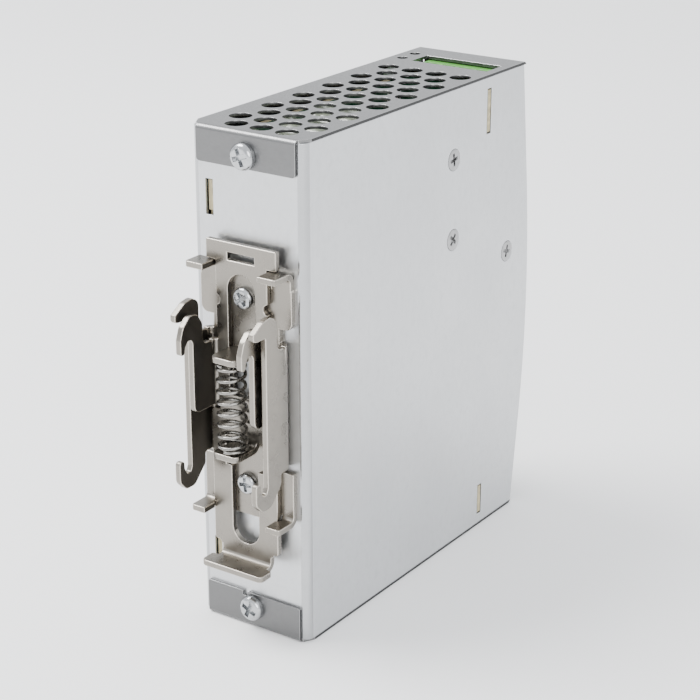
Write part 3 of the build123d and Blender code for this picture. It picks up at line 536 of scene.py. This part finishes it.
class RAILSUPPLY_OT_case_screws(bpy.types.Operator):
    """Finish the screws of the case and of the clip"""
    bl_idname = "rail_supply.case_screws"
    bl_label = "Case and clip screws"

    def execute(self, context):
        zinc = bright_zinc("zinc_bright", (0.48, 0.49, 0.50), 0.12)
        flat_zinc = bright_zinc("zinc_flush", (0.42, 0.42, 0.42), 0.26)
        for node, name, material in (("flange_screws", "flange_pan_screws", zinc),
                                     ("clip_screws", "clip_pan_screws", zinc),
                                     ("side_screws", "side_flush_screws", flat_zinc),
                                     ("package_screws", "package_pan_screws", zinc)):
            screws = round_corners(node_copy(node, joined=False), 0.06 * MM, 2)
            place(name, screws, [material], replaces=[node])
        return {"FINISHED"}


# ---- rail clip ----
class RAILSUPPLY_OT_clip(bpy.types.Operator):
    """Finish the rail clip's bracket and its sliding latch"""
    bl_idname = "rail_supply.clip"
    bl_label = "Rail clip"

    def execute(self, context):
        sheets = context.scene.rail_sheets
        face = plated_clip("clip_nickel", sheets.clip_tint, 0.3)
        # Painted highlight: the clip's rounded edge strips get 1.9 times the nickel tint; their lower
        # roughness stands for the burnished edge.
        edge = cut_edge("clip_edge_painted_highlight", scaled(sheets.clip_tint, 1.9), 0.2)
        # Painted shade: clip faces that face inward, towards the other plates, get the nickel at 0.3 of its
        # tint, standing in for the shade between the plates.
        inner = plated_clip("clip_nickel_painted_shade", scaled(sheets.clip_tint, 0.3), 0.42)
        for node, name, body in (("clip_bracket", "clip_bracket_stamping", CASE),
                                 ("latch_slide", "latch_stamping", "latch")):
            stamping = node_copy(node)
            for part in stamping.faces:
                side = math.copysign(1, part.calc_center_median().x)
                # Inward-facing faces take the painted shade copy.
                if part.normal.x * side < -0.9:
                    part.material_index = 2
            round_corners(stamping, sheets.clip_edge, 2, edge_slot=1)
            place(name, stamping, [face, edge, inner], body=body, replaces=[node])
        return {"FINISHED"}


class RAILSUPPLY_OT_spring(bpy.types.Operator):
    """Wind the latch's compression spring with closed end coils"""
    bl_idname = "rail_supply.spring"
    bl_label = "Latch spring"

    def execute(self, context):
        spring = context.scene.rail_spring
        low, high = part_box("latch_spring")
        centre = (low + high) / 2
        wire = spring.wire / 2
        steps = 36
        closed_ends = 2 * spring.wire
        pitch = (high.z - low.z - 2 * wire - closed_ends) / spring.open_turns
        bm = bmesh.new()
        start = Vector((centre.x, centre.y - spring.radius, low.z + wire))
        section = bmesh.ops.create_circle(bm, cap_ends=True, radius=wire, segments=12,
                                          matrix=Matrix.Translation(start)
                                          @ Matrix.Rotation(math.pi / 2, 4, "Y"))
        geometry = section["verts"] + list({e for v in section["verts"] for e in v.link_edges})
        for rise, turns in ((spring.wire, 1), (pitch, spring.open_turns), (spring.wire, 1)):
            count = steps * turns
            swept = bmesh.ops.spin(bm, geom=geometry, cent=(centre.x, centre.y, 0), axis=(0, 0, 1),
                                   dvec=(0, 0, rise / steps), angle=math.tau * turns, steps=count,
                                   use_merge=False)
            geometry = swept["geom_last"]
        last = [g for g in geometry if isinstance(g, bmesh.types.BMEdge)]
        bmesh.ops.contextual_create(bm, geom=last)
        bmesh.ops.recalc_face_normals(bm, faces=bm.faces)
        ground = 0.18 * spring.wire
        for height, keep_above in ((low.z + ground, True), (high.z - ground, False)):
            cut = bmesh.ops.bisect_plane(bm, geom=bm.verts[:] + bm.edges[:] + bm.faces[:], dist=MERGE,
                                         plane_co=(0, 0, height), plane_no=(0, 0, 1),
                                         clear_inner=keep_above, clear_outer=not keep_above)
            rim = [g for g in cut["geom_cut"] if isinstance(g, bmesh.types.BMEdge)]
            bmesh.ops.holes_fill(bm, edges=rim, sides=0)
        wire_finish = drawn_wire("spring_wire_drawn", spring.tint)
        piece = place("spring_wound", bm, [wire_finish], replaces=["latch_spring"])
        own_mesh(piece)
        return {"FINISHED"}


# ---- terminals ----
class RAILSUPPLY_OT_terminals(bpy.types.Operator):
    """Finish both terminal blocks with their clamps, screws and contacts"""
    bl_idname = "rail_supply.terminals"
    bl_label = "Terminal blocks"

    def execute(self, context):
        terminals = context.scene.rail_terminals
        green = moulded("terminal_green_moulded", terminals.green, 0.38, through=0.08)
        # Painted highlight: the rounded rims of the housings get 1.3 times the housing green.
        rim = moulded("terminal_green_painted_highlight", scaled(terminals.green, 1.3), 0.3)
        plated = bright_zinc("terminal_plating", terminals.plating)
        tinned = solder("tinned_copper")
        for side in ("output", "input"):
            block = node_copy(side + "_terminal_block")
            low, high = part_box(side + "_terminal_block")
            rims = [edge for edge in block.edges if self.outside(edge, low, high)]
            round_corners(block, 0.1 * MM, 2, edge_slot=1, among=rims)
            place(side + "_housing", block, [green, rim],
                  replaces=[side + "_terminal_block"])
            paint(side + "_contacts", tinned)
        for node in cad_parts:
            for part, name in (("_clamp_", "_cage_"), ("_screw_", "_terminal_screw_")):
                if part in node and node.split("_")[0] in ("output", "input"):
                    shape = round_corners(node_copy(node), 0.06 * MM, 2)
                    place(node.replace(part, name), shape, [plated], body=node,
                          replaces=[node])
        return {"FINISHED"}

    @staticmethod
    def outside(edge, low, high):
        """Whether an edge lies in one of the block's outer faces, where a rim can be rounded."""
        ends = [vert.co for vert in edge.verts]
        return any(all(abs(end[axis] - corner[axis]) < 0.02 * MM for end in ends)
                   for axis in range(3) for corner in (low, high))


# ---- boards ----
class RAILSUPPLY_OT_boards(bpy.types.Operator):
    """Finish the circuit boards, their standoffs, pins and insulating film"""
    bl_idname = "rail_supply.boards"
    bl_label = "Circuit boards"

    def execute(self, context):
        inside = context.scene.rail_inside
        # The mask colour holds painted shade: it is darkened for the boards inside the closed case.
        mask = circuit_mask("board_mask_painted_shade", inside.mask)
        edge = glass_fibre("board_edge", (0.42, 0.36, 0.22))
        for node, across in (("main_board", 0), ("output_board", 1), ("input_board", 1)):
            board = node_copy(node)
            for face in board.faces:
                face.material_index = 0 if abs(face.normal[across]) > 0.9 else 1
            round_corners(board, 0.06 * MM, 1)
            place(node + "_laminate", board, [mask, edge], replaces=[node])
        paint("board_standoffs", moulded("nylon_natural", (0.72, 0.71, 0.64), 0.4, through=0.2))
        # Painted shade: the film is near black, standing in for the dark seen through the vents above it.
        paint("insulating_sheet", moulded("insulating_film_painted_shade", (0.012, 0.012, 0.013), 0.7, shine=0.1))
        paint("link_pins", solder("tinned_pins"))
        return {"FINISHED"}


class RAILSUPPLY_OT_board_parts(bpy.types.Operator):
    """Add solder joints to the boards"""
    bl_idname = "rail_supply.board_parts"
    bl_label = "Solder joints and small parts"

    def execute(self, context):
        low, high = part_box("main_board")
        joints = bmesh.new()
        rows, columns = 11, 6
        for row in range(rows):
            for column in range(columns):
                y = low.y + (0.08 + 0.15 * column + 0.04 * math.sin(row * 2.3)) * (high.y - low.y)
                z = low.z + (0.06 + 0.088 * row + 0.012 * math.cos(column * 1.7)) * (high.z - low.z)
                bmesh.ops.create_uvsphere(
                    joints, u_segments=10, v_segments=6, radius=0.9 * MM,
                    matrix=Matrix.Translation((low.x, y, z)) @ Matrix.Diagonal((0.6, 1, 1, 1)))
        place("solder_joints", joints, [solder("solder_dull")])
        return {"FINISHED"}


# ---- heat sinks and power packages ----
class RAILSUPPLY_OT_power(bpy.types.Operator):
    """Finish the heat sinks, the power packages and their pads"""
    bl_idname = "rail_supply.power"
    bl_label = "Heat sinks and packages"

    def execute(self, context):
        aluminium = mill_aluminium("sink_mill", (0.70, 0.72, 0.70))
        black = moulded("package_black", (0.02, 0.02, 0.022), 0.45, 0.0002)
        for node in ("output_heat_sink", "input_heat_sink"):
            sink = round_corners(node_copy(node), 0.15 * MM, 2)
            place(node + "_extrusion", sink, [aluminium], replaces=[node])
        for node in ("output_rectifier", "switching_transistor", "bridge_rectifier", "control_chip"):
            package = round_corners(node_copy(node), 0.06 * MM, 1)
            place(node + "_package", package, [black], replaces=[node])
        paint("package_pads", moulded("pad_silicone", (0.42, 0.44, 0.47), 0.6, 0.0003))
        return {"FINISHED"}


# ---- capacitors ----
def can_profile(radius, height):
    """Half-section of a capacitor can: rolled neck, sleeve turned over the top, dished end."""
    return [(0, 0.6 * MM), (radius - 1.0 * MM, 0.6 * MM), (radius - 0.5 * MM, 0), (radius, 0.8 * MM),
            (radius, 2.1 * MM), (radius - 0.45 * MM, 2.7 * MM), (radius - 0.45 * MM, 3.1 * MM),
            (radius, 3.7 * MM), (radius, height - 0.7 * MM), (radius - 0.3 * MM, height - 0.15 * MM),
            (radius - 1.1 * MM, height), (radius - 1.25 * MM, height - 0.3 * MM), (0, height - 0.35 * MM)]


class RAILSUPPLY_OT_capacitors(bpy.types.Operator):
    """Turn the electrolytic capacitors and finish the film and ceramic ones"""
    bl_idname = "rail_supply.capacitors"
    bl_label = "Capacitors"

    def execute(self, context):
        inside = context.scene.rail_inside
        sleeve = moulded("capacitor_sleeve_film", inside.sleeve, 0.25, 0.001, coat=0.8)
        dark = moulded("bulk_sleeve_film", inside.bulk_sleeve, 0.25, 0.001, coat=0.8)
        top = mill_aluminium("can_top", (0.75, 0.75, 0.75))
        low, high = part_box("output_capacitors")
        radius = (high.z - low.z) / 2
        cans = bmesh.new()
        pitch = (high.y - low.y - 2 * radius) / 2
        for i in range(3):
            base = Vector((low.x, low.y + radius + i * pitch, low.z + radius))
            self.can(cans, base, (1, 0, 0), radius, high.x - low.x)
        self.bare_tops(cans, Vector((1, 0, 0)), high.x)
        place("output_cans", cans, [sleeve, top], replaces=["output_capacitors"])
        low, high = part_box("bulk_capacitor")
        radius = (high.x - low.x) / 2
        can = bmesh.new()
        base = Vector((low.x + radius, low.y + radius, low.z))
        self.can(can, base, (0, 0, 1), radius, high.z - low.z)
        self.bare_tops(can, Vector((0, 0, 1)), high.z)
        place("bulk_can", can, [dark, top], replaces=["bulk_capacitor"])
        paint("x_capacitor", moulded("film_box_yellow", (0.62, 0.42, 0.05), 0.4, coat=0.3))
        blue = fired("disc_blue", (0.04, 0.11, 0.36), 0.42)
        for node in ("y_capacitors", "surge_absorber"):
            paint(node, blue)
        paint("inrush_limiter", fired("disc_green", (0.05, 0.13, 0.06), 0.55))
        return {"FINISHED"}

    @staticmethod
    def can(bm, base, axis, radius, height):
        turned = bmesh.new()
        lathe(turned, can_profile(radius, height), base, axis, 36)
        mesh = bpy.data.meshes.new("can")
        turned.to_mesh(mesh)
        turned.free()
        bm.from_mesh(mesh)
        bpy.data.meshes.remove(mesh)

    @staticmethod
    def bare_tops(bm, axis, top):
        """The dished end inside the sleeve's turned-over rim is bare metal."""
        for face in bm.faces:
            height = face.calc_center_median().dot(axis)
            if face.normal.dot(axis) > 0.6 and top - 0.45 * MM < height < top - 0.1 * MM:
                face.material_index = 1


# ---- wound parts ----
class RAILSUPPLY_OT_wound_parts(bpy.types.Operator):
    """Wind the chokes and finish the transformer"""
    bl_idname = "rail_supply.wound_parts"
    bl_label = "Transformer and chokes"

    def execute(self, context):
        ferrite = fired("ferrite_grey", (0.045, 0.045, 0.05), 0.5)
        paint("transformer_core", ferrite)
        paint("choke_core", ferrite)
        coil = round_corners(node_copy("transformer_winding"), 0.15 * MM, 2)
        place("transformer_coil", coil, [wrapped_tape("tape_yellow", (0.66, 0.46, 0.06))],
              replaces=["transformer_winding"])
        self.output_choke(context.scene.rail_inside.choke_turns)
        self.mains_choke()
        return {"FINISHED"}

    @staticmethod
    def output_choke(turns):
        """A painted ring core with one layer of thick wire."""
        low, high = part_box("output_choke")
        radius = (high.y - low.y) / 2
        centre = Vector((high.x - radius, low.y + radius, (low.z + high.z) / 2))
        wire = 0.55 * MM
        tall = (high.z - low.z) / 2 - wire
        inner = 3.6 * MM
        middle_radius = (radius + inner) / 2
        wide = (radius - inner) / 2 - wire
        bm = bmesh.new()
        for i in range(turns):
            angle = math.tau * (i + 0.5) / turns
            out = Vector((math.cos(angle), math.sin(angle), 0))
            along = Vector((-math.sin(angle), math.cos(angle), 0))
            loop = tube_loop(bm, centre + out * middle_radius, along, tall, wire, 20, 8)
            turn = Matrix.Rotation(-angle, 4, "Z")
            space = turn @ Matrix.Translation(-(centre + out * middle_radius))
            bmesh.ops.scale(bm, vec=(wide / tall, 1, 1), space=space, verts=loop)
        bmesh.ops.recalc_face_normals(bm, faces=bm.faces)
        green = enamelled("choke_wire_green", (0.02, 0.16, 0.09))
        place("output_choke_wire", bm, [green], replaces=["output_choke"])
        core = bmesh.new()
        core_tall, core_wide = tall - 1.4 * wire, wide - 1.4 * wire
        lathe(core, [(middle_radius - core_wide, -core_tall), (middle_radius + core_wide, -core_tall),
                     (middle_radius + core_wide, core_tall), (middle_radius - core_wide, core_tall),
                     (middle_radius - core_wide, -core_tall)], centre, (0, 0, 1), 48)
        round_corners(core, 0.5 * MM, 3)
        place("output_choke_core", core, [fired("core_paint", (0.30, 0.30, 0.05), 0.4)])

    @staticmethod
    def mains_choke():
        """Two copper coils, turn by turn, on the long legs of the closed core."""
        low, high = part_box("choke_windings")
        core_low, core_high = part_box("choke_core")
        wire = 0.42 * MM
        bm = bmesh.new()
        for x in (core_low.x + 2.25 * MM, core_high.x - 2.25 * MM):
            for i in range(12):
                z = core_low.z + 4.9 * MM + wire + i * 2.05 * wire
                centre = Vector((x, (core_low.y + core_high.y) / 2, z))
                tube_loop(bm, centre, (0, 0, 1), 3.9 * MM, wire, 24, 8)
        bmesh.ops.recalc_face_normals(bm, faces=bm.faces)
        copper = enamelled("copper_lacquered", (0.62, 0.22, 0.08), 0.9)
        place("mains_choke_wire", bm, [copper], replaces=["choke_windings"])
        base = bmesh.new()
        size = (1.45 * MM, high.y - low.y, core_high.z - core_low.z)
        spot = Vector((low.x + size[0] / 2, (low.y + high.y) / 2, (core_low.z + core_high.z) / 2))
        bmesh.ops.create_cube(base, size=1, matrix=Matrix.Translation(spot) @ Matrix.Diagonal((*size, 1)))
        round_corners(base, 0.3 * MM, 3)
        place("mains_choke_base", base, [moulded("choke_base_black", (0.02, 0.02, 0.02), 0.5)])


# ---- small parts ----
class RAILSUPPLY_OT_small_parts(bpy.types.Operator):
    """Finish the fuse, the optocoupler, the trimmer and the indicator with its light guide"""
    bl_idname = "rail_supply.small_parts"
    bl_label = "Small parts"

    def execute(self, context):
        paint("fuse", moulded("fuse_ceramic", (0.70, 0.66, 0.54), 0.25, coat=0.6))
        white = moulded("optocoupler_white", (0.75, 0.75, 0.72), 0.35)
        coupler = round_corners(node_copy("optocoupler"), 0.06 * MM, 1)
        place("optocoupler_package", coupler, [white], replaces=["optocoupler"])
        paint("trimmer_body", moulded("trimmer_blue", (0.03, 0.10, 0.40), 0.35))
        rotor = round_corners(node_copy("trimmer_rotor"), 0.08 * MM, 2)
        place("trimmer_dial", rotor, [moulded("trimmer_white", (0.78, 0.77, 0.73), 0.3)],
              body="trimmer_rotor", replaces=["trimmer_rotor"])
        paint("indicator_led", moulded("lamp_green_tinted", (0.08, 0.45, 0.10), 0.15, coat=0.6))
        paint("light_guide", clear_plastic("guide_clear", (0.92, 0.95, 0.95)))
        return {"FINISHED"}


# ---- stage ----
class RAILSUPPLY_OT_stage(bpy.types.Operator):
    """Set up the floor, the soft lights, the sky and the camera"""
    bl_idname = "rail_supply.stage"
    bl_label = "Stage"

    def execute(self, context):
        stage = context.scene.rail_stage
        centre = (CAD_BOX[0] + CAD_BOX[1]) / 2
        self.floor()
        self.camera(context, stage, centre + Vector(stage.aim))
        self.soft_light("key_light", Vector((-0.75, -0.35, 1.15)), centre, 0.9, stage.key_power)
        self.soft_light("fill_light", Vector((0.9, -1.0, 0.55)), centre, 0.9, stage.key_power * 0.35)
        self.sky(context, stage.sky)
        return {"FINISHED"}

    @staticmethod
    def floor():
        bm = bmesh.new()
        bmesh.ops.create_grid(bm, x_segments=8, y_segments=8, size=3.0)
        mesh = bpy.data.meshes.new("floor")
        bm.to_mesh(mesh)
        bm.free()
        pale = Finish("floor_pale", (0.94, 0.94, 0.94), 0.7)
        tone = pale.noise(0.4, detail=1)
        pale.colour(tone, (0.93, 0.93, 0.93), (0.95, 0.95, 0.95))
        mesh.materials.append(pale.material)
        floor = bpy.data.objects.new("floor", mesh)
        bpy.context.scene.collection.objects.link(floor)

    @staticmethod
    def camera(context, stage, aim):
        back = Vector((math.sin(stage.azimuth) * math.cos(stage.elevation),
                       -math.cos(stage.azimuth) * math.cos(stage.elevation), math.sin(stage.elevation)))
        data = bpy.data.cameras.new("camera")
        data.lens = stage.lens
        data.sensor_width = 36.0
        data.clip_start = 0.01
        camera = bpy.data.objects.new("camera", data)
        camera.location = aim + back * stage.distance
        camera.rotation_euler = (-back).to_track_quat("-Z", "Y").to_euler()
        context.scene.collection.objects.link(camera)
        context.scene.camera = camera

    @staticmethod
    def soft_light(name, offset, centre, size, power):
        data = bpy.data.lights.new(name, "AREA")
        data.shape = "DISK"
        data.size = size
        data.energy = power
        light = bpy.data.objects.new(name, data)
        light.location = centre + offset
        light.rotation_euler = (-offset).to_track_quat("-Z", "Y").to_euler()
        bpy.context.scene.collection.objects.link(light)

    @staticmethod
    def sky(context, strength):
        world = bpy.data.worlds.new("studio")
        world.use_nodes = True
        backdrop = world.node_tree.nodes["Background"]
        backdrop.inputs["Color"].default_value = (0.95, 0.97, 1.0, 1)
        backdrop.inputs["Strength"].default_value = strength
        context.scene.world = world


OPERATORS = (RAILSUPPLY_OT_stage, RAILSUPPLY_OT_case, RAILSUPPLY_OT_case_screws, RAILSUPPLY_OT_clip,
             RAILSUPPLY_OT_spring, RAILSUPPLY_OT_terminals, RAILSUPPLY_OT_boards,
             RAILSUPPLY_OT_board_parts, RAILSUPPLY_OT_power, RAILSUPPLY_OT_capacitors,
             RAILSUPPLY_OT_wound_parts, RAILSUPPLY_OT_small_parts)
SETTINGS = {"rail_sheets": RailSupplySheets, "rail_spring": RailSupplySpring,
            "rail_terminals": RailSupplyTerminals, "rail_inside": RailSupplyInside,
            "rail_stage": RailSupplyStage}


class RAILSUPPLY_PT_panel(bpy.types.Panel):
    """Sizes, colours and build steps of the rail supply"""
    bl_idname = "RAILSUPPLY_PT_panel"
    bl_label = "Rail Supply"
    bl_space_type = "VIEW_3D"
    bl_region_type = "UI"
    bl_category = "Rail Supply"

    def draw(self, context):
        for attribute, group in SETTINGS.items():
            box = self.layout.box()
            for name in group.__annotations__:
                box.prop(getattr(context.scene, attribute), name)
        for operator in OPERATORS:
            self.layout.operator(operator.bl_idname)


def register():
    for group in SETTINGS.values():
        bpy.utils.register_class(group)
    for attribute, group in SETTINGS.items():
        setattr(bpy.types.Scene, attribute, PointerProperty(type=group))
    for operator in OPERATORS:
        bpy.utils.register_class(operator)
    bpy.utils.register_class(RAILSUPPLY_PT_panel)


def unregister():
    bpy.utils.unregister_class(RAILSUPPLY_PT_panel)
    for operator in reversed(OPERATORS):
        bpy.utils.unregister_class(operator)
    for attribute in SETTINGS:
        delattr(bpy.types.Scene, attribute)
    for group in reversed(SETTINGS.values()):
        bpy.utils.unregister_class(group)


def main():
    register()
    for operator in OPERATORS:
        module, name = operator.bl_idname.split(".")
        getattr(getattr(bpy.ops, module), name)()


if __name__ == "__main__":
    main()
